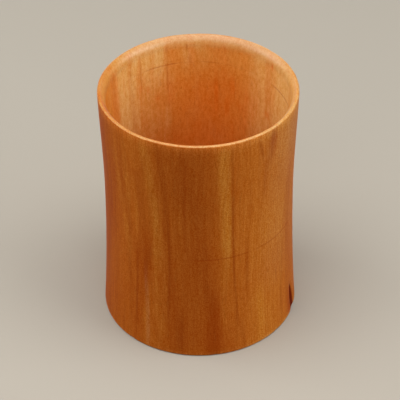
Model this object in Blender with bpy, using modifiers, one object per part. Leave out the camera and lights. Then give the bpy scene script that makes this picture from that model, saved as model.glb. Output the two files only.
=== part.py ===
"""A turned wooden cup in two pieces: a waisted wall that is bored right through, and a bottom disc that is
glued up into a rabbet in the wall's foot.

Lengths are in metres. The origin is the centre of the foot, on the surface that the cup stands on, and +Z is
the axis that both pieces are turned about.
"""

import math

import bpy

# Outline of the outside, which is slimmest at the waist
FOOT_TO_WAIST = 0.0590
WAIST_TO_RIM = 0.0450
FOOT_RADIUS = 0.0398
WAIST_RADIUS = 0.03775
RIM_RADIUS = 0.0391
# The swelling above the waist is this much of a cosine wave, so the wall is nearly upright again at the rim.
RIM_WAVE = math.radians(148)

# Wall, lip and mouth: the wall's thickness holds from the waist up to where the mouth is eased
WALL = 0.0030
LIP_ROUND = 0.0006
LIP_FLAT = 0.00045
MOUTH_EASE = 0.0055
# The mouth opens from the bore to the lip as this power of the rise.
MOUTH_FLARE = 3

# Foot: a standing ring round a rabbet, and the ledge that the bottom disc is glued up against
FOOT_RING = 0.0034
FOOT_ROUND = 0.0007
RABBET_CHAMFER = 0.0004
LEDGE = 0.0020

# Bottom disc, which is held clear of the surface that the cup stands on
DISC_THICKNESS = 0.0060
DISC_RECESS = 0.0012
DISC_CHAMFER = 0.0004
GLUE_GAP = 0.0003

# How finely the curves are cut
TURN_STEPS = 72
OUTLINE_STEPS = 6
ROUND_STEPS = 4
MERGE_DISTANCE = 0.00001

# Heights and radii that follow from the sizes above
HEIGHT = FOOT_TO_WAIST + WAIST_TO_RIM
MOUTH_BOTTOM = HEIGHT - MOUTH_EASE
LEDGE_HEIGHT = DISC_RECESS + DISC_THICKNESS + GLUE_GAP
RABBET_RADIUS = FOOT_RADIUS - FOOT_RING
LEDGE_RADIUS = RABBET_RADIUS - LEDGE
DISC_RADIUS = RABBET_RADIUS - GLUE_GAP

# Linear colours of the two cuts of the same wood, and their waxed sheen
WALL_COLOUR = (0.440, 0.155, 0.036, 1.0)
DISC_COLOUR = (0.480, 0.190, 0.052, 1.0)
WALL_ROUGHNESS = 0.42
DISC_ROUGHNESS = 0.50

CUP_NAME = "wooden_cup"


def outside_radius(height):
    """Radius of the outside: a parabola from the foot up to the waist, then part of a cosine wave to the rim."""
    if height < FOOT_TO_WAIST:
        below = (FOOT_TO_WAIST - height) / FOOT_TO_WAIST
        return WAIST_RADIUS + (FOOT_RADIUS - WAIST_RADIUS) * below**2
    above = (height - FOOT_TO_WAIST) / WAIST_TO_RIM
    swell = (1 - math.cos(RIM_WAVE * above)) / (1 - math.cos(RIM_WAVE))
    return WAIST_RADIUS + (RIM_RADIUS - WAIST_RADIUS) * swell


def bore_radius(height):
    """Radius of the inside: one wall within the outside above the waist, then a parabola down to the ledge."""
    if height >= FOOT_TO_WAIST:
        return outside_radius(height) - WALL
    waist_bore = WAIST_RADIUS - WALL
    below = (FOOT_TO_WAIST - height) / (FOOT_TO_WAIST - LEDGE_HEIGHT)
    return waist_bore + (LEDGE_RADIUS - waist_bore) * below**2


def mouth_radius(height, lip_inner):
    """Radius of the eased mouth, which opens from the bore at its bottom to the lip's inner edge at its top."""
    rise = (height - MOUTH_BOTTOM) / MOUTH_EASE
    bottom = bore_radius(MOUTH_BOTTOM)
    return bottom + (lip_inner - bottom) * rise**MOUTH_FLARE


def steps_between(first, last, count):
    """count + 1 values in equal steps, both ends included."""
    return [first + (last - first) * step / count for step in range(count + 1)]


def arc(centre, size, start, end):
    """Points of a circular arc about (radius, height), from one angle to another. 0 degrees is outward, 90 is up."""
    angles = steps_between(math.radians(start), math.radians(end), ROUND_STEPS)
    return [(centre[0] + size * math.cos(angle), centre[1] + size * math.sin(angle)) for angle in angles]


def wall_profile():
    """The wall's section: round the lip, down the outside, across the foot, up the inside and over the mouth."""
    lip_bottom = HEIGHT - LIP_ROUND
    lip_centre = outside_radius(lip_bottom) - LIP_ROUND
    lip_inner = lip_centre - LIP_FLAT
    foot_centre = outside_radius(FOOT_ROUND) - FOOT_ROUND

    profile = arc((lip_centre, lip_bottom), LIP_ROUND, 90, 0)
    down = steps_between(lip_bottom, FOOT_TO_WAIST, OUTLINE_STEPS)
    down += steps_between(FOOT_TO_WAIST, FOOT_ROUND, OUTLINE_STEPS)[1:]
    profile += [(outside_radius(height), height) for height in down[1:-1]]
    profile += arc((foot_centre, FOOT_ROUND), FOOT_ROUND, 0, -90)
    profile += [
        (RABBET_RADIUS + RABBET_CHAMFER, 0.0),
        (RABBET_RADIUS, RABBET_CHAMFER),
        (RABBET_RADIUS, LEDGE_HEIGHT),
    ]
    up = steps_between(LEDGE_HEIGHT, FOOT_TO_WAIST, OUTLINE_STEPS)
    up += steps_between(FOOT_TO_WAIST, MOUTH_BOTTOM, OUTLINE_STEPS)[1:]
    profile += [(bore_radius(height), height) for height in up[:-1]]
    over = steps_between(MOUTH_BOTTOM, HEIGHT, OUTLINE_STEPS)
    profile += [(mouth_radius(height, lip_inner), height) for height in over]
    return profile


def disc_profile():
    """The disc's section from the axis out over the floor, down its edge and back in along the underside."""
    return [
        (0.0, DISC_THICKNESS),
        (DISC_RADIUS - DISC_CHAMFER, DISC_THICKNESS),
        (DISC_RADIUS, DISC_THICKNESS - DISC_CHAMFER),
        (DISC_RADIUS, DISC_CHAMFER),
        (DISC_RADIUS - DISC_CHAMFER, 0.0),
        (0.0, 0.0),
    ]


def wood(name, colour, roughness):
    """A plain waxed wood."""
    material = bpy.data.materials.new(name)
    material.use_nodes = True
    shader = material.node_tree.nodes["Principled BSDF"]
    shader.inputs["Base Color"].default_value = colour
    shader.inputs["Roughness"].default_value = roughness
    shader.inputs["Metallic"].default_value = 0.0
    return material


def turned(name, profile, closed, material, collection, parent):
    """A piece turned about +Z: its section, as a line at +X, carried round by a Screw modifier."""
    points = [(radius, 0.0, height) for radius, height in profile]
    edges = [(index, index + 1) for index in range(len(points) - 1)]
    if closed:
        edges.append((len(points) - 1, 0))
    mesh = bpy.data.meshes.new(name)
    mesh.from_pydata(points, edges, [])
    mesh.materials.append(material)
    piece = bpy.data.objects.new(name, mesh)
    piece.parent = parent
    collection.objects.link(piece)

    screw = piece.modifiers.new("turn", "SCREW")
    screw.axis = "Z"
    screw.steps = TURN_STEPS
    screw.render_steps = TURN_STEPS
    screw.use_merge_vertices = True
    screw.merge_threshold = MERGE_DISTANCE
    screw.use_smooth_shade = True
    piece.modifiers.new("flat_faces_look_flat", "WEIGHTED_NORMAL")
    return piece


def main():
    for old in list(bpy.data.objects):
        bpy.data.objects.remove(old, do_unlink=True)
    collection = bpy.data.collections.new(CUP_NAME)
    bpy.context.scene.collection.children.link(collection)
    foot_centre = bpy.data.objects.new(CUP_NAME, None)
    collection.objects.link(foot_centre)

    wall_wood = wood("long_grain_wood", WALL_COLOUR, WALL_ROUGHNESS)
    disc_wood = wood("cross_grain_wood", DISC_COLOUR, DISC_ROUGHNESS)
    turned("cup_wall", wall_profile(), True, wall_wood, collection, foot_centre)
    disc = turned("base_disc", disc_profile(), False, disc_wood, collection, foot_centre)
    disc.location.z = DISC_RECESS


main()
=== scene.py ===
# %% [markdown]
# # A turned wooden cup
#
# The packed model holds the cup as it is built: a waisted wall, bored right through, and a bottom disc
# glued up into its foot. This lesson dresses those two solids. Each is made again as a fine surface
# worked out with numpy, given the wood that the photograph shows, and set on a pale floor under soft
# light.

import math
from collections import namedtuple

import bpy
import numpy as np
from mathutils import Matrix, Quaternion, Vector


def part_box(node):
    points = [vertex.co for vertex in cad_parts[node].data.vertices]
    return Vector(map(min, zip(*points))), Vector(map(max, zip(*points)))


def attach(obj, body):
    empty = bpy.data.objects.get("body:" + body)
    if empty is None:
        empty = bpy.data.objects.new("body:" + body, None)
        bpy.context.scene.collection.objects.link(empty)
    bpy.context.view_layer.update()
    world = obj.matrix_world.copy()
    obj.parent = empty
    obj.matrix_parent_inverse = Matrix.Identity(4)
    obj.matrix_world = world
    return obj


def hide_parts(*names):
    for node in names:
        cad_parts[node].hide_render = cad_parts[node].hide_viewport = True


MM = 0.001
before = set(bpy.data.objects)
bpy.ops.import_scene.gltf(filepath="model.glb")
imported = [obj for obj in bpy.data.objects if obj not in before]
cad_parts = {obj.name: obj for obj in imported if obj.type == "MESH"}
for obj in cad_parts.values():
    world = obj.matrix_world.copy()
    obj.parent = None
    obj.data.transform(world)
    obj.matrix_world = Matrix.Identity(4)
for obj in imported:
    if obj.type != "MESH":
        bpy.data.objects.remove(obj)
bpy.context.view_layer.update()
wall_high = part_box("cup_wall")[1]
disc_low, disc_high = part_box("base_disc")
HEIGHT = wall_high.z
print("nodes:", sorted(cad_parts), "cup height in mm:", round(HEIGHT / MM, 2))

# %% [markdown]
# ## The camera
#
# A turned cup is an easy thing to fit a camera to, because its outline is a set of circles. The
# distance, the height angle and the lens below are the ones at which the model's edges lie on the
# photograph's edges. The photograph is tilted by half a degree, and its frame isn't quite centred on the
# cup, so the camera has a small roll and a small shift.

# %% Camera
PHOTO_SIDE = 400
CUP_MIDDLE_PIXEL = (199.06, 194.18)
FOCAL_PIXELS = 1777.0
VIEW_DISTANCE = 0.7176
VIEW_ANGLE = math.radians(37.68)
VIEW_ROLL = math.radians(-0.487)

cup_middle = Vector((0.0, 0.0, HEIGHT / 2))
lens = bpy.data.cameras.new("photo_camera")
lens.lens = lens.sensor_width * FOCAL_PIXELS / PHOTO_SIDE
lens.shift_x = 0.5 - CUP_MIDDLE_PIXEL[0] / PHOTO_SIDE
lens.shift_y = CUP_MIDDLE_PIXEL[1] / PHOTO_SIDE - 0.5
camera = bpy.data.objects.new("photo_camera", lens)
towards_camera = Vector((0.0, -math.cos(VIEW_ANGLE), math.sin(VIEW_ANGLE)))
camera.location = cup_middle + VIEW_DISTANCE * towards_camera
camera.rotation_mode = "QUATERNION"
level_view = (-towards_camera).to_track_quat("-Z", "Y")
camera.rotation_quaternion = level_view @ Quaternion((0, 0, 1), VIEW_ROLL)
bpy.context.scene.collection.objects.link(camera)
bpy.context.scene.camera = camera
print("lens in mm:", round(lens.lens, 1))

# %% [markdown]
# ## The wall's section
#
# On the lathe one line makes the whole wall: round the lip, down the outside, across the foot and up the
# bore. A Screw modifier could carry such a line round. Here the line is worked out as arrays of radius
# and height, so that later every point can be moved by itself. The height, the foot, the rabbet and the
# ledge follow from the packed model's boxes, and the other sizes repeat the solid's.

# %% Sizes of the wall
WAIST_HEIGHT = 59.0 * MM
WAIST_RADIUS = 37.75 * MM
RIM_RADIUS = 39.1 * MM
RIM_WAVE = math.radians(148)
WALL = 3.0 * MM
LIP_ROUND = 0.6 * MM
LIP_FLAT = 0.45 * MM
MOUTH_EASE = 5.5 * MM
MOUTH_FLARE = 3
FOOT_ROUND = 0.7 * MM
RABBET_CHAMFER = 0.4 * MM
LEDGE = 2.0 * MM
GLUE_GAP = 0.3 * MM

# The box is as wide as the outline is where the foot's rounding begins, a little less than the foot itself.
foot_share = ((WAIST_HEIGHT - FOOT_ROUND) / WAIST_HEIGHT) ** 2
FOOT_RADIUS = WAIST_RADIUS + (wall_high.x - WAIST_RADIUS) / foot_share
RABBET_RADIUS = disc_high.x + GLUE_GAP
LEDGE_HEIGHT = disc_high.z + GLUE_GAP
LEDGE_RADIUS = RABBET_RADIUS - LEDGE
MOUTH_BOTTOM = HEIGHT - MOUTH_EASE
print("foot radius in mm:", round(FOOT_RADIUS / MM, 2), "rabbet radius:", round(RABBET_RADIUS / MM, 2))


# %% Outline, bore and mouth
def outside_radius(height):
    """Radius of the outside: a parabola from foot to waist, then part of a cosine wave to the rim."""
    below = (WAIST_HEIGHT - height) / WAIST_HEIGHT
    above = np.clip((height - WAIST_HEIGHT) / (HEIGHT - WAIST_HEIGHT), 0, None)
    swell = (1 - np.cos(RIM_WAVE * above)) / (1 - np.cos(RIM_WAVE))
    lower = WAIST_RADIUS + (FOOT_RADIUS - WAIST_RADIUS) * below**2
    upper = WAIST_RADIUS + (RIM_RADIUS - WAIST_RADIUS) * swell
    return np.where(height < WAIST_HEIGHT, lower, upper)


def bore_radius(height):
    """Radius of the inside: one wall within the outside down to the waist, then a parabola to the ledge."""
    waist_bore = WAIST_RADIUS - WALL
    below = (WAIST_HEIGHT - height) / (WAIST_HEIGHT - LEDGE_HEIGHT)
    lower = waist_bore + (LEDGE_RADIUS - waist_bore) * below**2
    return np.where(height < WAIST_HEIGHT, lower, outside_radius(height) - WALL)


def mouth_line(lip_inner, count):
    """Points up the eased mouth: it opens from the bore to the lip as the third power of the rise."""
    rise = np.linspace(0, 1, count)
    bottom = bore_radius(MOUTH_BOTTOM)
    opening = bottom + (lip_inner - bottom) * rise**MOUTH_FLARE
    return np.stack([opening, MOUTH_BOTTOM + MOUTH_EASE * rise], axis=1)


print("bore under the mouth in mm:", round(float(bore_radius(MOUTH_BOTTOM)) / MM, 2))

# %% Heights of the points
OUTER_LINE = 48.4 * MM
INNER_LINE = 92.4 * MM
INNER_DIP = 1.2 * MM


def heights_with_line(bottom, top, count, line, line_half, line_count):
    """Heights in even steps from bottom to top, with closer ones to both sides of a scored line."""
    even = np.linspace(bottom, top, count)
    close = line + np.linspace(-line_half, line_half, line_count)
    return np.concatenate([even[even < close[0]], close, even[even > close[-1]]])


lip_bottom = HEIGHT - LIP_ROUND
inner_line_middle = INNER_LINE - INNER_DIP / 2
outside_heights = heights_with_line(
    FOOT_ROUND, lip_bottom, count=72, line=OUTER_LINE, line_half=0.7 * MM, line_count=13
)
bore_heights = heights_with_line(
    LEDGE_HEIGHT, MOUTH_BOTTOM, count=58, line=inner_line_middle, line_half=1.2 * MM, line_count=21
)
print("heights on the outside:", len(outside_heights), "and in the bore:", len(bore_heights))


# %% Section of the wall
def arc(centre, size, start, end, count):
    """Points of a circular arc about (radius, height). 0 degrees is outward and 90 is up."""
    angle = np.radians(np.linspace(start, end, count))
    return np.stack([centre[0] + size * np.cos(angle), centre[1] + size * np.sin(angle)], axis=1)


def straight(start, end, count):
    """Points in equal steps between two places, without the two ends."""
    share = np.linspace(0, 1, count + 2)[1:-1, None]
    return np.array(start) * (1 - share) + np.array(end) * share


lip_centre = outside_radius(lip_bottom) - LIP_ROUND
foot_centre = outside_radius(FOOT_ROUND) - FOOT_ROUND
ring_inner = RABBET_RADIUS + RABBET_CHAMFER
down = outside_heights[::-1][1:-1]
up = bore_heights[:-1]
outside_line = [
    arc((lip_centre, lip_bottom), LIP_ROUND, 90, 0, count=9),
    np.stack([outside_radius(down), down], axis=1),
    arc((foot_centre, FOOT_ROUND), FOOT_ROUND, 0, -90, count=7),
]
foot_line = [
    straight((foot_centre, 0.0), (ring_inner, 0.0), count=3),
    np.array([(ring_inner, 0.0), (RABBET_RADIUS, RABBET_CHAMFER)]),
    straight((RABBET_RADIUS, RABBET_CHAMFER), (RABBET_RADIUS, LEDGE_HEIGHT), count=4),
    np.array([(RABBET_RADIUS, LEDGE_HEIGHT)]),
]
inside_line = [
    np.stack([bore_radius(up), up], axis=1),
    mouth_line(lip_centre - LIP_FLAT, count=22),
]
section = np.concatenate(outside_line + foot_line + inside_line)
point_number = np.arange(len(section))
is_outside = point_number < sum(len(stretch) for stretch in outside_line)
is_inside = point_number >= len(section) - sum(len(stretch) for stretch in inside_line)
print("points in the section:", len(section))

# %% [markdown]
# ## What the hand and the years left on the wall
#
# A plain turned surface looks moulded. On the real cup two fine score lines run part of the way round,
# and the inner one dips on the right. The lip wavers a little where it was sanded by hand, its edge and
# the foot's have small dents, and a narrow bark pocket runs up from the foot on the right. Sculpting
# could make all of these, but here each is a small move of the grid's points, added to the radius or the
# height before the mesh is made, so it has a size and a place that can be changed.

# %% Grid round the cup
TURN_STEPS = 480
turn_degrees = np.arange(TURN_STEPS) * 360 / TURN_STEPS - 180
degrees, section_height = np.meshgrid(turn_degrees, section[:, 1])
section_radius = np.repeat(section[:, :1], TURN_STEPS, axis=1)
outer = np.repeat(is_outside[:, None].astype(float), TURN_STEPS, axis=1)
inner = np.repeat(is_inside[:, None].astype(float), TURN_STEPS, axis=1)
print("grid of points:", degrees.shape)


# %% Soft steps and bells
def soft_step(low, high, value):
    """0 below low, 1 above high, and a smooth cubic between them."""
    share = np.clip((value - low) / (high - low), 0, 1)
    return share * share * (3 - 2 * share)


def hump(value, middle, width):
    """A bell curve: 1 at the middle, and 0.37 one width away from it."""
    return np.exp(-(((value - middle) / width) ** 2))


def turn_from(angle):
    """How far each point of the grid lies from an angle, the short way round, from -180 to 180 degrees."""
    return (degrees - angle + 180) % 360 - 180


def about(angle, spread):
    """A bell round the cup: 1 at an angle, and 0.37 a spread of degrees away from it."""
    return hump(turn_from(angle), 0, spread)


def across_from(angle):
    """Distance of each point from an angle, measured round the waist, in metres."""
    return np.radians(turn_from(angle)) * WAIST_RADIUS


print("a bell at its middle, and one and two widths away:", hump(np.arange(3), 0, 1).round(2))

# %% Score lines
SCORE_DEPTH = 0.025 * MM
SCORE_WIDTH = 0.27 * MM
FAINT_SHARE = 0.15
ARC_FADE = 4.0
# The arcs that are cut deeper: first angle, last angle and strength
OUTER_SCORE_ARCS = [(-3, 30, 1.0), (37, 70, 1.0)]
INNER_SCORE_ARCS = [(98, 123, 1.0), (166, 178, 0.4), (193, 215, 0.8)]


def over_arc(start, end):
    """1 from one angle round to another, fading out over a few degrees at both ends."""
    half = (end - start) / 2
    return 1 - soft_step(half - ARC_FADE, half + ARC_FADE, np.abs(turn_from(start + half)))


def score(line, arcs):
    """A turned line: a bell about its height, stronger along the arcs and faint round the rest."""
    depth = np.max([strength * over_arc(start, end) for start, end, strength in arcs], axis=0)
    return (FAINT_SHARE + (1 - FAINT_SHARE) * depth) * hump(section_height, line, SCORE_WIDTH)


inner_line = INNER_LINE - INNER_DIP * about(110, 40)
outer_score = outer * score(OUTER_LINE, OUTER_SCORE_ARCS)
inner_score = inner * score(inner_line, INNER_SCORE_ARCS)
inner_low = inner_line.min() / MM
inner_high = inner_line.max() / MM
print("inner line's heights in mm:", round(inner_low, 1), "to", round(inner_high, 1))

# %% Bark pocket
POCKET_ANGLE = 75.5
POCKET_TOP = 16.5 * MM
POCKET_WIDTH = 2.2 * MM
POCKET_DEPTH = 0.5 * MM
POCKET_LEAN = -0.17
TIP_WIDTH_SHARE = 0.3
NARROWS_FROM = 0.3 * POCKET_TOP
SHALLOWS_FROM = 0.7 * POCKET_TOP

pocket_side = across_from(POCKET_ANGLE) - POCKET_LEAN * section_height
pocket_taper = 1 - soft_step(NARROWS_FROM, POCKET_TOP, section_height)
pocket_width = POCKET_WIDTH * (TIP_WIDTH_SHARE + (1 - TIP_WIDTH_SHARE) * pocket_taper)
pocket_rise = 1 - soft_step(SHALLOWS_FROM, POCKET_TOP, section_height)
pocket = outer * hump(pocket_side, 0, pocket_width) * pocket_rise
print("points in the bark pocket:", int((pocket > 0.5).sum()))

# %% Bruises and waver
DENT_DEPTH = 0.14 * MM
DENT_WIDTH = 1.0 * MM
LIP_DENTS = (-152, -96, -61, -17, 34, 88, 131)
FOOT_DENTS = (-139, -83, -44, 9, 52, 104, 160)
LIP_WAVER = 0.05 * MM
LIP_WAVES = (2, 3, 5, 8, 13)


def dents(angles, level, reach):
    """Small bruises at some angles round an edge at one height, each a bell across and up."""
    round_edge = np.sum([hump(across_from(angle), 0, DENT_WIDTH) for angle in angles], axis=0)
    return round_edge * hump(section_height, level, reach)


def wavering(waves, seed):
    """A closed line that wavers by about 1: a sum of sines round the cup with seeded phases."""
    phases = np.random.default_rng(seed).uniform(0, 2 * np.pi, len(waves))
    sines = [np.sin(np.radians(degrees) * wave + phase) for wave, phase in zip(waves, phases)]
    return np.sum(sines, axis=0) / np.sqrt(len(waves))


bruises = outer * (dents(LIP_DENTS, HEIGHT, LIP_ROUND) + dents(FOOT_DENTS, 0.0, FOOT_ROUND))
cut = SCORE_DEPTH * (outer_score - inner_score) + POCKET_DEPTH * pocket + DENT_DEPTH * bruises
near_lip = soft_step(MOUTH_BOTTOM, HEIGHT, section_height)
lip_drop = LIP_WAVER * (1 + wavering(LIP_WAVES, seed=4)) * near_lip
radius = section_radius - cut
height = section_height - np.clip(lip_drop, 0, None)
print("deepest cut in mm:", round(float(cut.max()) / MM, 3))

# %% [markdown]
# ## The figure of the wood
#
# The streaks that give this cup its look run up the wall as the tree grew. Noise alone gives some wood
# but not this one, so they are listed one by one, each with the angle it stands at, its half width, the
# heights it runs between, how strong it is, how many degrees it leans with each millimetre of height,
# and how firm its sides are: a soft one is a plain bell, and a firm one is flatter with steeper sides.
# Angles are in degrees from the front, positive to the right, and heights and widths are in millimetres.
# One that starts at -20 or ends at 125 runs off the end of the wall. A streak goes right through the
# thin wall, so one list serves the outside and the inside. Heartwood and rust are dark, and the shortest
# of them are small checks and flecks in the mouth and the bore. Sapwood is pale. Some streaks are not
# grain but painted light: two heartwood streaks are painted shade, a few sapwood streaks are painted
# sheen and light, and the pale sheen streaks paint a sheen on the outside.

# %% Heartwood streaks and painted shade
Streak = namedtuple("Streak", "angle width low high strength lean firmness", defaults=(0.0, 4))
SOFT = 2
HEART_AND_SHADE_STREAKS = [
    # Painted shade: the darker upper front, under the rim that flares out over it.
    Streak(-5, 9.0, 72, 125, 0.30, firmness=SOFT),
    Streak(-8, 11.0, -20, 125, 0.30, firmness=SOFT),
    Streak(-21.5, 1.4, 55, 110, 0.35, lean=-0.09),
    Streak(-18.6, 0.6, 12, 66, 0.50),
    Streak(-40.7, 0.6, 6, 46, 0.80),
    Streak(-37, 2.0, 44, 86, 0.35, lean=0.05),
    Streak(-33.5, 1.2, 38, 50, 0.80, lean=0.3),
    Streak(-10, 1.4, 0, 20, 0.60, firmness=SOFT),
    Streak(-13.5, 0.7, 0, 18, 0.40),
    Streak(7.5, 2.2, -20, 32, 0.60, firmness=SOFT),
    Streak(3, 4.5, 25, 75, 0.35, firmness=SOFT),
    Streak(21.0, 0.5, 12, 76, 0.70, lean=-0.045),
    Streak(19.2, 0.4, 76, 125, 0.45),
    Streak(37.4, 0.7, 92, 100, 0.80, lean=-0.3),
    Streak(44.5, 1.4, 86, 125, 0.50),
    Streak(48.3, 1.6, 95, 125, 0.40, firmness=SOFT),
    Streak(30, 0.7, 30, 52, 0.35),
    Streak(68, 4.5, 18, 74, 0.22, firmness=SOFT),
    Streak(-72, 2.5, -20, 125, 0.50, firmness=SOFT),
    Streak(-62, 8.0, -20, 125, 0.50, firmness=SOFT),
    Streak(-66, 5.0, 50, 125, 0.35, firmness=SOFT),
    Streak(127.5, 2.2, 78, 125, 0.10),
    Streak(162.5, 0.35, 98.6, 100.8, 0.40),
    Streak(169, 0.35, 98.8, 101, 0.40),
    Streak(186.8, 0.35, 98.6, 100.8, 0.75),
    Streak(184.9, 0.8, 91.5, 95, 0.40),
    Streak(198.3, 1.4, 80, 125, 0.08),
    Streak(200.8, 0.45, 82, 93, 0.40),
    Streak(200.9, 0.35, 98.4, 101, 0.60),
    Streak(220.3, 0.45, 83, 125, 0.28),
    Streak(228, 1.2, 60, 125, 0.15),
    Streak(248, 2.0, 84, 125, 0.20),
    # Painted shade: a dark band down the left edge of the outside.
    Streak(-83, 5.0, -20, 96, 1.00, firmness=SOFT),
]
print("heartwood streaks:", len(HEART_AND_SHADE_STREAKS))

# %% Rust streaks
RUST_STREAKS = [
    Streak(8.5, 2.4, -20, 28, 0.80, firmness=SOFT),
    Streak(29, 1.6, 18, 50, 0.20, firmness=SOFT),
    Streak(-33, 2.0, 36, 58, 0.50),
    Streak(-43, 2.0, 38, 56, 0.40, firmness=SOFT),
    Streak(-35, 1.2, 26, 46, 0.50, firmness=SOFT),
    Streak(-38.5, 2.2, 2, 50, 0.45, firmness=SOFT),
    Streak(-15.5, 2.2, -20, 40, 0.30),
    Streak(-3, 12.0, 0, 60, 0.25, firmness=SOFT),
    Streak(12, 6.0, -20, 14, 0.45, firmness=SOFT),
    Streak(41.5, 0.9, 74, 88, 0.40),
    Streak(48, 1.8, 94, 125, 0.55, firmness=SOFT),
    Streak(-76, 3.0, -20, 125, 0.50, firmness=SOFT),
    Streak(73, 3.2, -20, 12, 0.90, lean=-0.25, firmness=SOFT),
    Streak(127.5, 2.3, 80, 125, 0.15),
    Streak(127.5, 1.5, 74.3, 76.8, 0.60),
    Streak(124.4, 0.7, 98.5, 101, 0.80),
    Streak(156, 1.2, 79, 87, 0.40),
    Streak(160, 1.2, 68, 76, 0.40),
    Streak(162, 2.4, 80, 110, 0.25, firmness=SOFT),
    Streak(168.5, 0.9, 71, 87, 0.40),
    Streak(171, 15.0, -20, 86, 0.50, firmness=SOFT),
    Streak(185, 1.5, 92, 125, 0.35, firmness=SOFT),
    Streak(208.5, 1.1, 76.6, 79.2, 0.50),
    Streak(215.5, 0.9, 82.0, 84.4, 0.45),
    Streak(221, 0.8, 84.0, 86.5, 0.45),
    Streak(249.3, 3.3, 70, 125, 0.30),
]
print("rust streaks:", len(RUST_STREAKS))

# %% Sapwood streaks and painted sheen
SAP_AND_SHEEN_STREAKS = [
    Streak(15.2, 2.4, 52, 125, 0.85),
    Streak(16.4, 2.1, 34, 58, 0.40),
    Streak(-28.4, 2.0, 46, 104, 0.55, lean=-0.10),
    Streak(-46.5, 1.6, 66, 100, 0.40, lean=-0.10),
    Streak(-54.5, 1.9, 42, 125, 0.45, lean=-0.18, firmness=SOFT),
    Streak(-33.2, 1.2, -20, 36, 0.25),
    Streak(38.5, 2.2, -20, 28, 0.50),
    # Painted sheen: this wide streak and the ones at 58 and 64 degrees paint the sheen on the right of the
    # outside.
    Streak(48, 17.0, -20, 125, 0.45, firmness=SOFT),
    Streak(47, 10.0, 40, 66, 0.30, firmness=SOFT),
    Streak(58.7, 1.5, 22, 50, 0.40, firmness=SOFT),
    Streak(64, 8.0, 50, 125, 0.30, firmness=SOFT),
    Streak(58, 8.0, 85, 125, 0.40, firmness=SOFT),
    Streak(109, 10.4, 45, 125, 1.00),
    Streak(130, 5.0, 30, 125, 0.30, firmness=SOFT),
    Streak(137, 5.5, 30, 97, 0.40, firmness=SOFT),
    Streak(136, 5.0, 94, 125, 0.35, firmness=SOFT),
    Streak(180, 14.0, 92, 125, 0.20, firmness=SOFT),
    Streak(201.5, 1.6, 61, 72, 0.45),
    Streak(199, 2.6, 76, 92, 0.25, firmness=SOFT),
    Streak(204.5, 2.4, 94, 125, 0.40),
    Streak(210.7, 6.3, 84, 125, 0.65),
    Streak(212.5, 4.6, 56, 84, 0.25, firmness=SOFT),
    Streak(216, 4.0, 92, 125, 0.30, firmness=SOFT),
    Streak(223.3, 1.7, 86, 125, 0.70, lean=-0.15),
    Streak(223.5, 1.7, 64, 84, 0.40),
    Streak(236, 10.0, 30, 125, 0.60, firmness=SOFT),
    Streak(237, 4.4, 60, 125, 0.45),
    # Painted light: lifts the right of the mouth, where its steep lower part is in shade.
    Streak(86, 8.0, 93, 125, 0.70, firmness=SOFT),
]
# Painted sheen: the wide streaks paint a pale sheen on the right of the outside, and the narrow one at -33.2
# degrees paints a pale line.
PALE_SHEEN_STREAKS = [
    Streak(66, 11.0, 30, 125, 0.22, firmness=SOFT),
    Streak(66, 11.0, 76, 125, 0.28, firmness=SOFT),
    Streak(51, 7.0, 26, 125, 0.24, firmness=SOFT),
    Streak(73, 6.0, 86, 125, 0.80, firmness=SOFT),
    Streak(-33.2, 0.9, -20, 37, 0.45),
]
print("sapwood streaks:", len(SAP_AND_SHEEN_STREAKS), "bloom streaks:", len(PALE_SHEEN_STREAKS))

# %% Streaks on the wall
STREAK_FADE = 9.0
SHORT_FADE_SHARE = 0.6
SWAY_SHARE = 0.5
WIDEST_SWAY = 1.5
SWAY_LENGTH = 11.0


def streak_field(streaks, seed):
    """The streaks of one kind added up. Each is a bell across, flatter and steeper as it is firmer, that
    sways on a sine and fades in and out along its height."""
    height_mm = section_height / MM
    phases = np.random.default_rng(seed).uniform(0, 2 * np.pi, len(streaks))
    field = np.zeros_like(height_mm)
    for streak, phase in zip(streaks, phases):
        stand = streak.angle + streak.lean * (height_mm - (streak.low + streak.high) / 2)
        sway = SWAY_SHARE * min(streak.width, WIDEST_SWAY)
        sideways = across_from(stand) / MM + sway * np.sin(height_mm / SWAY_LENGTH + phase)
        across = np.exp(-np.abs(sideways / streak.width) ** streak.firmness)
        fade = min(STREAK_FADE, SHORT_FADE_SHARE * (streak.high - streak.low))
        rise = soft_step(streak.low - fade, streak.low + fade, height_mm)
        fall = 1 - soft_step(streak.high - fade, streak.high + fade, height_mm)
        field = field + streak.strength * across * rise * fall
    return np.clip(field, 0, 1)


heart_and_shade_field = streak_field(HEART_AND_SHADE_STREAKS, seed=11)
rust_field = streak_field(RUST_STREAKS, seed=12)
sap_and_sheen_field = streak_field(SAP_AND_SHEEN_STREAKS, seed=13)
pale_sheen_field = outer * streak_field(PALE_SHEEN_STREAKS, seed=14)
print("mean strength of the heartwood on the wall's points:", round(float(heart_and_shade_field.mean()), 2))

# %% [markdown]
# ## From a grid of points to a mesh
#
# Each point of the wall has two addresses: which point of the section it comes from, and how far round
# the cup it stands. Cells of four neighbours become the faces, and the last row and column of cells go
# back to the first, so the wall is one closed skin. The same grid carries a flat map of the surface, and
# notes on every point, such as how dark a streak is there, which the wood's material reads later.


# %% Grids into meshes
def corners_of(grid):
    """The four corners of every cell of a grid, in the order that makes the faces point outwards."""
    corners = [grid[:-1, :-1], grid[1:, :-1], grid[1:, 1:], grid[:-1, 1:]]
    return np.stack(corners, axis=2).reshape(-1, 4, *grid.shape[2:])


def closed_round(index):
    """The grid of point numbers with its first column repeated, so that the last cell meets the first."""
    return np.concatenate([index, index[:, :1]], axis=1)


def run_along(line):
    """Distance of each point of a line from its first one, summed along the line."""
    return np.concatenate([[0], np.cumsum(np.linalg.norm(np.diff(line, axis=0), axis=1))])


print("cells in a grid of 3 by 5 points:", len(corners_of(np.arange(15).reshape(3, 5))))

# %% Pieces and notes
SHARP_EDGE = math.radians(40)


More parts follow.
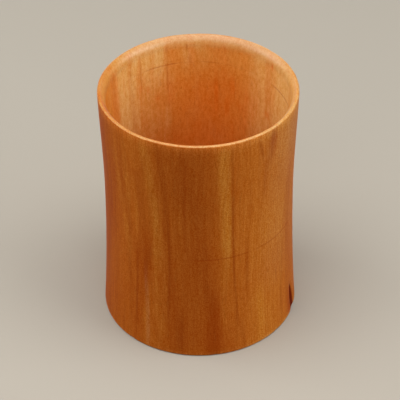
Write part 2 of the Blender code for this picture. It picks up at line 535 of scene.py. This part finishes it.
def make_piece(name, points, faces, flat_map):
    """An object from points, faces and one flat map place for every corner of every face."""
    mesh = bpy.data.meshes.new(name)
    mesh.from_pydata(points, [], faces)
    mesh.shade_smooth()
    mesh.set_sharp_from_angle(angle=SHARP_EDGE)
    layer = mesh.uv_layers.new(name="OFBake")
    layer.uv.foreach_set("vector", flat_map.astype(np.float32).ravel())
    piece = bpy.data.objects.new(name, mesh)
    bpy.context.scene.collection.objects.link(piece)
    return piece


def note(piece, name, *values):
    """Writes three values on every point of a piece, as one attribute."""
    layer = piece.data.attributes.new(name, "FLOAT_VECTOR", "POINT")
    layer.data.foreach_set("vector", np.stack(values, axis=-1).astype(np.float32).ravel())


print("edges look sharp above", round(math.degrees(SHARP_EDGE)), "degrees")


# %% The wall
def carried_round(radius, height, degrees):
    """Points at a radius and a height, turned about the axis: 0 degrees is the front and 90 the right."""
    angle = np.radians(degrees)
    return np.stack([radius * np.sin(angle), -radius * np.cos(angle), height], axis=-1)


wall_points = carried_round(radius, height, degrees)
wall_index = np.arange(radius.size).reshape(radius.shape)
wall_faces = corners_of(closed_round(np.concatenate([wall_index, wall_index[:1]])))
section_run = run_along(np.concatenate([section, section[:1]]))
around = np.linspace(0, 1, TURN_STEPS + 1)
wall_map = np.stack(np.meshgrid(around, section_run / section_run[-1]), axis=-1)
wall = make_piece("turned_wall", wall_points.reshape(-1, 3), wall_faces, corners_of(wall_map))
print("wall faces:", len(wall.data.polygons))

# %% [markdown]
# ## Notes on the wall's points
#
# Wear and wax don't follow the streaks, they follow the form: hands rub the lip, and wax gathers in the
# eased mouth. A lighter band along the foot's edge is a painted highlight. The mouth and the lip are also
# painted redder and more golden at the left and the right, where no sheen falls, and a golden edge on the
# right outside is painted sheen. A painted image could hold all this. Four attributes of three values
# each do the same with no image, and fit the surface by themselves.

# %% Wear, wax and tone
# Painted light: the mouth and the lip are painted redder and more golden at the left and the right, where no
# sheen falls, and stay paler at the back, where it does. The golden edge outside on the right is painted
# sheen.
left_side = about(-98, 45)
right_side = about(94, 30)
red_spot = about(-82.5, 6)
yellow_lip = about(40, 30)
right_edge_sheen = about(56, 28)

rubbed_lip = hump(section_height, HEIGHT - 0.6 * MM, 2.5 * MM)
# Painted highlight: a lighter band along the foot's rounded edge.
foot_highlight = hump(section_height, 0.5 * MM, 0.9 * MM)
worn = 0.8 * outer * (rubbed_lip + foot_highlight)
lip_top = outer * soft_step(HEIGHT - 0.8 * LIP_ROUND, HEIGHT - 0.2 * LIP_ROUND, section_height)
lip_inside = inner * soft_step(HEIGHT - 1.6 * MM, HEIGHT - 0.4 * MM, section_height)
mouth = inner * soft_step(MOUTH_BOTTOM - 0.5 * MM, HEIGHT - 1.2 * MM, section_height)
whole_lip = np.clip(lip_inside + lip_top, 0, 1)
redder = np.clip(mouth + lip_top, 0, 1) * (left_side + 0.5 * right_side)
redder = redder + whole_lip * (0.75 * left_side + 1.6 * red_spot)
redder = redder + 0.7 * (lip_inside * right_side - lip_top * yellow_lip)
golden = mouth * (left_side + right_side) + outer * right_edge_sheen
note(wall, "figure", heart_and_shade_field, rust_field, sap_and_sheen_field)
note(wall, "marks", pocket, outer_score + inner_score, worn)
note(wall, "place", inner, mouth, lip_top)
note(wall, "tone", redder, pale_sheen_field, golden)
print("points in the waxed mouth:", int((mouth > 0.5).sum()))

# %% [markdown]
# ## The bottom disc
#
# The disc is turned on its own, with its grain lying across, and glued up into the foot. It shows as the
# floor of the cup and, from below, inside the foot ring. A facing cut leaves very fine rings, and the
# lathe's centre leaves a small dimple underneath. Its section runs from pole to pole, so the two ends
# close in fans of triangles and all the rest is a grid like the wall's.

# %% Section of the disc
DISC_CHAMFER = 0.4 * MM
RING_SPACING = 2.4 * MM
RING_DEPTH = 0.02 * MM
PLAIN_MIDDLE = 3 * RING_SPACING
DIMPLE_RADIUS = 1.3 * MM
DIMPLE_DEPTH = 0.35 * MM
FACE_POINTS = 90
disc_radius = disc_high.x


def facing_rings(reach):
    """Depth of a facing cut's rings: a cosine of the distance from the axis, fading at the centre."""
    ring = 0.5 - 0.5 * np.cos(2 * np.pi * reach / RING_SPACING)
    return RING_DEPTH * ring * soft_step(0, PLAIN_MIDDLE, reach)


face_reach = np.linspace(0, disc_radius - DISC_CHAMFER, FACE_POINTS)
dimple = DIMPLE_DEPTH * hump(face_reach, 0, DIMPLE_RADIUS)
disc_top = np.stack([face_reach, disc_high.z - facing_rings(face_reach)], axis=1)
disc_under = np.stack([face_reach, disc_low.z + facing_rings(face_reach) + dimple], axis=1)
edge_top = (disc_radius, disc_high.z - DISC_CHAMFER)
edge_foot = (disc_radius, disc_low.z + DISC_CHAMFER)
disc_edge = np.concatenate([[edge_top], straight(edge_top, edge_foot, count=6), [edge_foot]])
disc_line = np.concatenate([disc_top, disc_edge, disc_under[::-1]])
print("points in the disc's section:", len(disc_line))

# %% Points and faces of the disc
DISC_STEPS = 240
disc_turn = np.arange(DISC_STEPS) * 360 / DISC_STEPS - 180
disc_degrees, disc_height = np.meshgrid(disc_turn, disc_line[1:-1, 1])
disc_reach = np.repeat(disc_line[1:-1, :1], DISC_STEPS, axis=1)
ring_points = carried_round(disc_reach, disc_height, disc_degrees).reshape(-1, 3)
poles = np.array([(0, 0, disc_line[0, 1]), (0, 0, disc_line[-1, 1])])
disc_points = np.concatenate([ring_points, poles])
ring_index = closed_round(np.arange(len(ring_points)).reshape(disc_reach.shape))
top_pole = np.full(DISC_STEPS, len(ring_points))
under_pole = top_pole + 1
top_fan = np.stack([top_pole, ring_index[0, :-1], ring_index[0, 1:]], axis=1)
under_fan = np.stack([ring_index[-1, :-1], under_pole, ring_index[-1, 1:]], axis=1)
disc_faces = corners_of(ring_index).tolist() + top_fan.tolist() + under_fan.tolist()
print("disc points:", len(disc_points))

# %% Flat map of the disc
# The top and the underside are two round maps side by side, and each takes in half of the disc's edge.
FLAT_RADIUS = 0.24
disc_run = run_along(disc_line)
is_top = disc_run < disc_run[-1] / 2
from_pole = np.where(is_top, disc_run, disc_run[-1] - disc_run)
flat_reach = 2 * FLAT_RADIUS * from_pole[:, None] / disc_run[-1]
flat_middle = np.where(is_top, 0.25, 0.75)[:, None]
flat_angle = np.radians(np.linspace(-180, 180, DISC_STEPS + 1))
flat_u = flat_middle + flat_reach * np.sin(flat_angle)
flat_v = 0.5 - flat_reach * np.cos(flat_angle)
disc_map = np.stack([flat_u, flat_v], axis=-1)
ring_map = disc_map[1:-1]
top_map = np.stack([disc_map[0, :-1], ring_map[0, :-1], ring_map[0, 1:]], axis=1)
under_map = np.stack([ring_map[-1, :-1], disc_map[-1, :-1], ring_map[-1, 1:]], axis=1)
flat_corners = [corners.reshape(-1, 2) for corners in (corners_of(ring_map), top_map, under_map)]
disc = make_piece("bottom_disc", disc_points, disc_faces, np.concatenate(flat_corners))
print("disc faces:", len(disc.data.polygons))

# %% [markdown]
# ## Nodes on a bench
#
# A wood material is a few dozen small nodes. Wiring them one by one hides what they do, so a small bench
# adds a node, plugs in what it is given, values or other nodes, and hands back the node's output.

# %% Bench
BUMP_HEIGHT = 0.05 * MM
BUMP_STRENGTH = 0.25


class Bench:
    """Builds one material. Most methods add a node and give back its output."""

    def __init__(self, name):
        self.material = bpy.data.materials.new(name)
        self.material.use_nodes = True
        self.tree = self.material.node_tree
        self.shader = self.tree.nodes["Principled BSDF"]

    def plug(self, value, socket):
        """Links a node's output to a socket, or sets a plain value on it."""
        if isinstance(value, bpy.types.NodeSocket):
            self.tree.links.new(value, socket)
        else:
            socket.default_value = value

    def shade(self, name, value):
        """Plugs a value into one of the shader's own sockets."""
        self.plug(value, self.shader.inputs[name])

    def node(self, kind, output, sockets, **settings):
        """Any node, with its settings and its sockets filled in."""
        made = self.tree.nodes.new(kind)
        for name, value in settings.items():
            setattr(made, name, value)
        for name, value in sockets.items():
            self.plug(value, made.inputs[name])
        return made.outputs[output]

    def math(self, operation, *values, clamp=False):
        """One sum on plain numbers."""
        return self.node("ShaderNodeMath", 0, dict(enumerate(values)), operation=operation, use_clamp=clamp)

    def vector(self, operation, *values, output=0):
        """One sum on triples of numbers."""
        return self.node("ShaderNodeVectorMath", output, dict(enumerate(values)), operation=operation)

    def span(self, value, low, high, start=0.0, end=1.0):
        """From start where the value is low to end where it is high, as a smooth cubic."""
        sockets = {"Value": value, "From Min": low, "From Max": high, "To Min": start, "To Max": end}
        return self.node("ShaderNodeMapRange", 0, sockets, interpolation_type="SMOOTHSTEP")

    def changed(self, value, where, change):
        """The value as it is where a note is 0, and the value times 1 + change where the note is 1."""
        return self.math("MULTIPLY", value, self.math("MULTIPLY_ADD", where, change, 1.0))

    def blend(self, share, first, second, how="MIX"):
        """The first colour with a share of the second laid over it."""
        sockets = {0: share, 6: first, 7: second}
        return self.node("ShaderNodeMix", 2, sockets, data_type="RGBA", blend_type=how)

    def tinted(self, colour, red, green, blue):
        """A colour with its three channels multiplied, each by its own amount."""
        tint = self.node("ShaderNodeCombineXYZ", 0, {0: red, 1: green, 2: blue})
        return self.blend(1.0, colour, tint, how="MULTIPLY")

    def millimetres(self):
        """Object coordinates, which are in metres, turned into millimetres."""
        place = self.tree.nodes.new("ShaderNodeTexCoord").outputs["Object"]
        return self.node("ShaderNodeVectorMath", 0, {0: place, "Scale": 1 / MM}, operation="SCALE")

    def noise(self, place, stretch, scale, detail=2.0, roughness=0.5, output=0):
        """Noise at a place whose axes are multiplied by the stretch: a small one draws it out."""
        drawn_out = self.vector("MULTIPLY", place, stretch)
        sockets = {"Vector": drawn_out, "Scale": scale, "Detail": detail, "Roughness": roughness}
        return self.node("ShaderNodeTexNoise", output, sockets)

    def noted(self, name):
        """The three values that were noted on the piece's points under one name."""
        reader = self.tree.nodes.new("ShaderNodeAttribute")
        reader.attribute_name = name
        split = self.tree.nodes.new("ShaderNodeSeparateXYZ")
        self.plug(reader.outputs["Vector"], split.inputs[0])
        return split.outputs[0], split.outputs[1], split.outputs[2]

    def bump(self, relief):
        """A relief of a few hundredths of a millimetre, as bent normals."""
        sockets = {"Strength": BUMP_STRENGTH, "Distance": BUMP_HEIGHT, "Height": relief}
        return self.node("ShaderNodeBump", 0, sockets)


print("tools on the bench:", [name for name in vars(Bench) if not name.startswith("_")])

# %% [markdown]
# ## Long-grain wood
#
# The wall's wood is amber with red-brown heartwood and pale sapwood. Its cells are long tubes, so every
# pattern is noise that is drawn out many times along the height: broad bands, narrow streaks, fine
# fibres and the short dark dashes of open pores. Growth rings are circles about the tree's middle, which
# lay outside the cup. On one side they meet the wall squarely as close lines, and on another they lie
# along it as wide arches. Object coordinates carry the noise right through the wall, as grain goes, so
# the lip and the bore match the outside.

# %% Grain of the wall
PITH = (77.0, 92.0, 0.0)
RING_STEP = 1.2
Grain = namedtuple("Grain", "place band streak fibre dash pore mottle late_wood")
Notes = namedtuple("Notes", "heart rust sap pocket score worn in_bore eased lip redder bloom golden")


def wall_grain(bench):
    """Noises at several scales, on a place that wanders a little, and growth rings: how far into its ring
    each point lies, to the third power, which leaves a narrow dark line of late wood."""
    place = bench.millimetres()
    drift = bench.noise(place, (1, 1, 0.5), scale=0.045, output=1)
    drift = bench.vector("SUBTRACT", drift, (0.5, 0.5, 0.5))
    wandering = bench.vector("MULTIPLY_ADD", drift, (5.0, 5.0, 0.0), place)
    from_pith = bench.vector("MULTIPLY", bench.vector("SUBTRACT", wandering, PITH), (1, 1, 0.03))
    rings = bench.math("DIVIDE", bench.vector("LENGTH", from_pith, output=1), RING_STEP)
    dash = bench.noise(wandering, (1, 1, 0.16), scale=1.9, detail=1.0)
    return Grain(
        place=place,
        band=bench.noise(wandering, (1, 1, 0.05), scale=0.13, detail=3.0),
        streak=bench.noise(wandering, (1, 1, 0.035), scale=0.55, detail=3.0, roughness=0.55),
        fibre=bench.noise(wandering, (1, 1, 0.045), scale=1.5, detail=2.0, roughness=0.6),
        dash=dash,
        pore=bench.span(dash, 0.64, 0.74),
        mottle=bench.noise(place, (1, 1, 0.5), scale=0.8, detail=3.0, roughness=0.65),
        late_wood=bench.math("POWER", bench.math("FRACT", rings), 3.0),
    )


def wall_notes(bench, grain):
    """The wall's notes. Its dark and pale streaks, painted shade and sheen among them, are also a little
    stronger where the noise agrees.
    """
    heart, rust, sap = bench.noted("figure")
    heart = bench.math("MULTIPLY", heart, bench.span(grain.streak, 0.3, 0.7, 1.15, 0.75), clamp=True)
    sap = bench.math("MULTIPLY", sap, bench.span(grain.streak, 0.3, 0.7, 0.75, 1.15), clamp=True)
    return Notes(heart, rust, sap, *bench.noted("marks"), *bench.noted("place"), *bench.noted("tone"))


wall_bench = Bench("long_grain_wood")
grain = wall_grain(wall_bench)
notes = wall_notes(wall_bench, grain)
print("nodes for the grain and the notes:", len(wall_bench.tree.nodes))

# %% [markdown]
# ## Colour of the wall
#
# Colour is built up in the order that a finisher works: first the wood, figured by noise and by the
# streaks, then wear and the painted highlights and sheen, then the finest grain. The bore is painted paler
# than the outside: partly painted light, for the brighter light and sheen inside. A tint over one mix
# could do that, but two sets of colours with the same streaks are easier to change, and the note of the
# bore chooses between them.


# %% Colours of the figure
def paint(red, green, blue):
    """A colour as a screen gives it, from 0 to 255, turned into the linear values that Blender uses."""
    card = np.array([red, green, blue]) / 255
    linear = np.where(card <= 0.04045, card / 12.92, ((card + 0.055) / 1.055) ** 2.4)
    return (*linear.tolist(), 1.0)


AMBER = paint(201, 106, 31)
HEART = paint(173, 78, 18)
SAP = paint(216, 132, 46)
RUST = paint(178, 76, 14)
# The pale sheen colour is painted sheen on the outside.
PALE_SHEEN = paint(196, 146, 104)
# The bore's colours are a paler copy of the outside's: partly painted light, for the brighter light and
# sheen inside.
BORE_AMBER = paint(220, 138, 54)
BORE_RED = paint(222, 112, 27)
BORE_PALE = paint(229, 176, 101)
BORE_HEART = paint(186, 92, 26)
FLECK = paint(176, 84, 26)
print("amber in linear values:", [round(value, 3) for value in AMBER[:3]])


# %% Figured wood
def figured(bench, grain, notes):
    """Wood that noise makes darker and paler and the streaks mark, painted shade and sheen among them, once
    with the outside's colours and once with the bore's paler ones, which are partly painted light. Flecks
    lie over the bore, and painted sheen over the outside."""
    unrest = bench.math("MULTIPLY", bench.math("SUBTRACT", grain.band, 0.5), 0.8)
    unrest = bench.math("MULTIPLY_ADD", bench.math("SUBTRACT", grain.streak, 0.5), 0.5, unrest)
    unrest = bench.changed(unrest, notes.in_bore, -0.6)
    blotch = bench.math("SUBTRACT", bench.noise(grain.place, (1, 1, 0.35), scale=0.12, detail=3.0), 0.5)
    unrest = bench.math("MULTIPLY_ADD", blotch, bench.math("MULTIPLY", notes.in_bore, 0.8), unrest)
    darker = bench.span(unrest, 0.0, -0.4)
    paler = bench.span(unrest, 0.0, 0.45)

    def stained(middle, shade, red, pale, dark):
        """One set of colours, each laid over the last by its own share."""
        mixed = bench.blend(darker, middle, shade)
        mixed = bench.blend(paler, mixed, pale)
        mixed = bench.blend(notes.sap, mixed, pale)
        mixed = bench.blend(notes.rust, mixed, red)
        return bench.blend(notes.heart, mixed, dark)

    polished = stained(AMBER, HEART, RUST, SAP, HEART)
    bored = stained(BORE_AMBER, BORE_RED, BORE_RED, BORE_PALE, BORE_HEART)
    colour = bench.blend(notes.in_bore, polished, bored)
    fleck = bench.noise(grain.place, (1, 1, 0.35), scale=0.95, detail=3.0, roughness=0.6)
    fleck = bench.span(fleck, 0.56, 0.72)
    fleck = bench.math("MULTIPLY", fleck, bench.math("MULTIPLY", notes.in_bore, 0.22))
    colour = bench.blend(fleck, colour, FLECK)
    # Painted sheen laid over the outside.
    return bench.blend(bench.math("MULTIPLY", notes.bloom, 0.3), colour, PALE_SHEEN)


wall_colour = figured(wall_bench, grain, notes)
print("nodes with the figure:", len(wall_bench.tree.nodes))

# %% Worn edges, waxed mouth and lip, with painted highlights and sheen
# Lighter wear on the lip, and a painted highlight along the foot's edge.
WEAR_AND_HIGHLIGHT = paint(232, 130, 50)
# Painted sheen on the right edge of the outside.
EDGE_SHEEN = paint(241, 169, 82)
# The mouth's wax with painted sheen, paler at the back.
MOUTH = paint(188, 139, 84)
# The mouth painted redder at the left and the right, where no sheen falls.
GOLDEN_MOUTH = paint(204, 150, 80)
# The lip's paler end grain with a painted highlight.
LIP = paint(196, 148, 84)


def handled(bench, grain, notes, colour):
    """Worn edges and a painted highlight on the foot, the waxed mouth with painted sheen, and the lip with a
    painted highlight, laid over the wood in turn. Noise breaks up the wear and the lip, and dark streaks
    show through the wax."""
    rubbed_and_lit = bench.math("MULTIPLY", notes.worn, bench.span(grain.streak, 0.25, 0.7, 0.35, 0.8))
    colour = bench.blend(rubbed_and_lit, colour, bench.blend(notes.golden, WEAR_AND_HIGHLIGHT, EDGE_SHEEN))
    wax_and_sheen_share = bench.math("MULTIPLY", notes.eased, bench.math("MULTIPLY_ADD", notes.heart, -0.75, 0.75))
    colour = bench.blend(wax_and_sheen_share, colour, bench.blend(notes.golden, MOUTH, GOLDEN_MOUTH))
    lip = bench.math("MULTIPLY", notes.lip, bench.span(grain.mottle, 0.3, 0.7, 0.65, 1.0))
    return bench.blend(lip, colour, LIP)


wall_colour = handled(wall_bench, grain, notes, wall_colour)
print("nodes with the wear:", len(wall_bench.tree.nodes))

# %% Fine grain and marks
PORE = paint(118, 46, 8)
# Painted shade: the dark colour in the score lines' shallow grooves.
SCORE_SHADE = paint(168, 54, 0)
BARK = paint(116, 32, 6)
TINT_SHARES = (0.7, 2.0, 4.5)


def grained(bench, grain, notes, colour):
    """Fibres, clouds and specks added up and multiplied in, least in red and most in blue, then the late
    wood, the pores, the painted shade of the score lines and the bark."""
    fibres = bench.changed(bench.span(grain.fibre, 0.2, 0.8, -0.07, 0.07), notes.in_bore, -0.7)
    clouds = bench.changed(bench.span(grain.mottle, 0.25, 0.75, -0.05, 0.05), notes.in_bore, 0.6)
    speck = bench.noise(grain.place, (1, 1, 0.75), scale=2.5, detail=1.0)
    specks = bench.changed(bench.span(speck, 0.3, 0.7, -0.13, 0.13), notes.in_bore, -0.6)
    fine = bench.math("ADD", bench.math("ADD", fibres, clouds), specks)
    # Painted light: the sides of the mouth and the lip are tinted redder here too.
    fine = bench.math("MULTIPLY_ADD", notes.redder, -0.08, fine)
    tints = [bench.math("MULTIPLY_ADD", fine, share, 1.0) for share in TINT_SHARES]
    colour = bench.tinted(colour, *tints)
    ring_show = bench.math("MULTIPLY_ADD", notes.in_bore, -0.22, 0.26)
    colour = bench.blend(bench.math("MULTIPLY", grain.late_wood, ring_show), colour, RUST)
    pore_show = bench.math("MULTIPLY_ADD", notes.in_bore, -0.14, 0.18)
    colour = bench.blend(bench.math("MULTIPLY", grain.pore, pore_show), colour, PORE)
    colour = bench.blend(bench.math("MULTIPLY", notes.score, 0.5), colour, SCORE_SHADE)
    return bench.blend(bench.span(notes.pocket, 0.15, 0.7), colour, BARK)


wall_bench.shade("Base Color", grained(wall_bench, grain, notes, wall_colour))
print("nodes with the fine grain:", len(wall_bench.tree.nodes))

# %% [markdown]
# ## Finish of the wall
#
# The cup looks waxed, not varnished: its sheen is broad and soft, and fibres and pores break it up. The
# lip and the mouth shine a little more than the rest, so a coat of wax lies there alone, and the wood
# itself has very little mirror. Pores and fibres are far too small to be modelled, so they are a bump.


# %% Roughness, bump and wax
def waxed(bench, grain, notes):
    """Roughness from the fibres, more in the bore and the bark and less on the lip, a bump from fibres,
    dashes and pores, and a coat of wax by how far a point belongs to the lip or the mouth."""
    rough = bench.span(grain.fibre, 0.2, 0.8, 0.38, 0.50)
    rough = bench.math("MULTIPLY_ADD", notes.in_bore, 0.06, rough)
    rough = bench.math("MULTIPLY_ADD", notes.lip, -0.1, rough)
    bench.shade("Roughness", bench.math("MULTIPLY_ADD", notes.pocket, 0.3, rough, clamp=True))
    relief = bench.math("MULTIPLY_ADD", grain.pore, -1.2, grain.fibre)
    relief = bench.math("MULTIPLY_ADD", grain.dash, 0.3, relief)
    bench.shade("Normal", bench.bump(relief))
    bench.shade("Coat Weight", bench.math("MAXIMUM", bench.math("MULTIPLY", notes.lip, 0.6), notes.eased))
    bench.shade("Coat Roughness", 0.4)
    bench.shade("Coat IOR", 1.7)
    bench.shade("Specular IOR Level", 0.02)


waxed(wall_bench, grain, notes)
wall.data.materials.append(wall_bench.material)
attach(wall, "root")
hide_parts("cup_wall")
print("wall material nodes:", len(wall_bench.tree.nodes))

# %% [markdown]
# ## Cross-grain wood
#
# The disc is the same kind of wood lying on its side, so its noise is drawn out across the cup and not
# up it. It has no notes, because nothing on it is set by hand, and its turning rings are already in its
# mesh. Every colour is moved halfway to a paler amber, to match the bore's paler colours, which are partly
# painted light.

# %% Wood of the disc
# The paler amber is partly painted light, as in the bore.
DISC_AMBER = paint(226, 154, 58)


def cross_grain_wood():
    """Bands and streaks mix heart, amber and sap, half of it paler amber, with fibres and pores over it."""
    bench = Bench("cross_grain_wood")
    place = bench.millimetres()
    band = bench.noise(place, (0.05, 1, 1), scale=0.16, detail=3.0)
    streak = bench.noise(place, (0.04, 1, 1), scale=0.6, detail=3.0, roughness=0.55)
    fibre = bench.noise(place, (0.05, 1, 1), scale=1.6, detail=2.0, roughness=0.6)
    pore = bench.span(bench.noise(place, (0.16, 1, 1), scale=1.9, detail=1.0), 0.64, 0.74)
    tone = bench.math("MULTIPLY_ADD", bench.math("SUBTRACT", band, 0.5), 1.3, 0.5)
    tone = bench.math("MULTIPLY_ADD", bench.math("SUBTRACT", streak, 0.5), 0.9, tone)
    colour = bench.blend(bench.span(tone, 0.1, 0.5), HEART, AMBER)
    colour = bench.blend(bench.span(tone, 0.5, 0.95), colour, SAP)
    colour = bench.blend(0.5, colour, DISC_AMBER)
    fine = bench.span(fibre, 0.2, 0.8, 0.92, 1.08)
    colour = bench.tinted(colour, fine, fine, fine)
    bench.shade("Base Color", bench.blend(bench.math("MULTIPLY", pore, 0.18), colour, PORE))
    bench.shade("Roughness", bench.span(fibre, 0.2, 0.8, 0.42, 0.54))
    bench.shade("Normal", bench.bump(bench.math("MULTIPLY_ADD", pore, -1.2, fibre)))
    bench.shade("Specular IOR Level", 0.1)
    return bench.material


disc.data.materials.append(cross_grain_wood())
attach(disc, "root")
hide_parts("base_disc")
print("disc material nodes:", len(disc.data.materials[0].node_tree.nodes))

# %% [markdown]
# ## Floor and light
#
# The cup stands on a plain pale floor that keeps its shadow. The floor is pale to the camera and in
# reflections, and throws back less light than that, so that the foot stays as dark as it should. Large
# soft lamps stand to the left, to the right, in front and overhead, and light the wall and the far side
# of the bore alike. Three weak ones low at the back draw the sheen along the lip.

# %% Floor
FLOOR_HALF = 3.0
FLOOR_SEEN = paint(170, 163, 151)
FLOOR_THROWN = paint(80, 76, 70)

floor_mesh = bpy.data.meshes.new("floor")
floor_corners = np.array([(-1, -1, 0), (1, -1, 0), (1, 1, 0), (-1, 1, 0)]) * FLOOR_HALF
floor_mesh.from_pydata(floor_corners, [], [(0, 1, 2, 3)])
floor = bpy.data.objects.new("floor", floor_mesh)
bpy.context.scene.collection.objects.link(floor)
floor_bench = Bench("floor_paint")
path = floor_bench.tree.nodes.new("ShaderNodeLightPath").outputs
seen = floor_bench.math("MAXIMUM", path["Is Camera Ray"], path["Is Glossy Ray"])
seen = floor_bench.math("MAXIMUM", seen, path["Is Transmission Ray"])
floor_bench.shade("Base Color", floor_bench.blend(seen, FLOOR_THROWN, FLOOR_SEEN))
floor_bench.shade("Roughness", 0.9)
floor_bench.shade("Specular IOR Level", 0.0)
floor_mesh.materials.append(floor_bench.material)
print("floor:", 2 * FLOOR_HALF, "m across")

# %% Light
LAMP_DISTANCE = 0.9
Lamp = namedtuple("Lamp", "name round_from_front up width depth power")
LAMPS = [
    Lamp("left_lamp", -90, 25, 0.8, 0.55, 3.6),
    Lamp("right_lamp", 70, 25, 0.8, 0.55, 4.4),
    Lamp("front_lamp", -15, 45, 1.0, 0.5, 2.9),
    Lamp("back_left_lamp", -150, 18, 0.45, 0.45, 0.8),
    Lamp("back_right_lamp", 150, 18, 0.45, 0.45, 0.4),
    Lamp("back_lamp", 180, 8, 0.6, 0.25, 1.6),
    Lamp("overhead_lamp", 0, 85, 1.0, 0.5, 8.4),
]


def softbox(lamp):
    """A rectangular lamp that looks at the cup from its angle round from the front and its angle up."""
    light = bpy.data.lights.new(lamp.name, "AREA")
    light.shape = "RECTANGLE"
    light.size = lamp.width
    light.size_y = lamp.depth
    light.energy = lamp.power
    turn = math.radians(lamp.round_from_front)
    climb = math.radians(lamp.up)
    level = math.cos(climb)
    towards_lamp = Vector((level * math.sin(turn), -level * math.cos(turn), math.sin(climb)))
    stand = bpy.data.objects.new(lamp.name, light)
    stand.location = cup_middle + LAMP_DISTANCE * towards_lamp
    stand.rotation_mode = "QUATERNION"
    stand.rotation_quaternion = (-towards_lamp).to_track_quat("-Z", "Y")
    bpy.context.scene.collection.objects.link(stand)


for lamp in LAMPS:
    softbox(lamp)
world = bpy.data.worlds.new("studio")
world.use_nodes = True
world.node_tree.nodes["Background"].inputs["Strength"].default_value = 0.0
bpy.context.scene.world = world
bpy.context.scene.view_settings.view_transform = "Standard"
print("lamps:", len(LAMPS), "watts in all:", round(sum(lamp.power for lamp in LAMPS), 1))

# %% [markdown]
# ## End of the scene
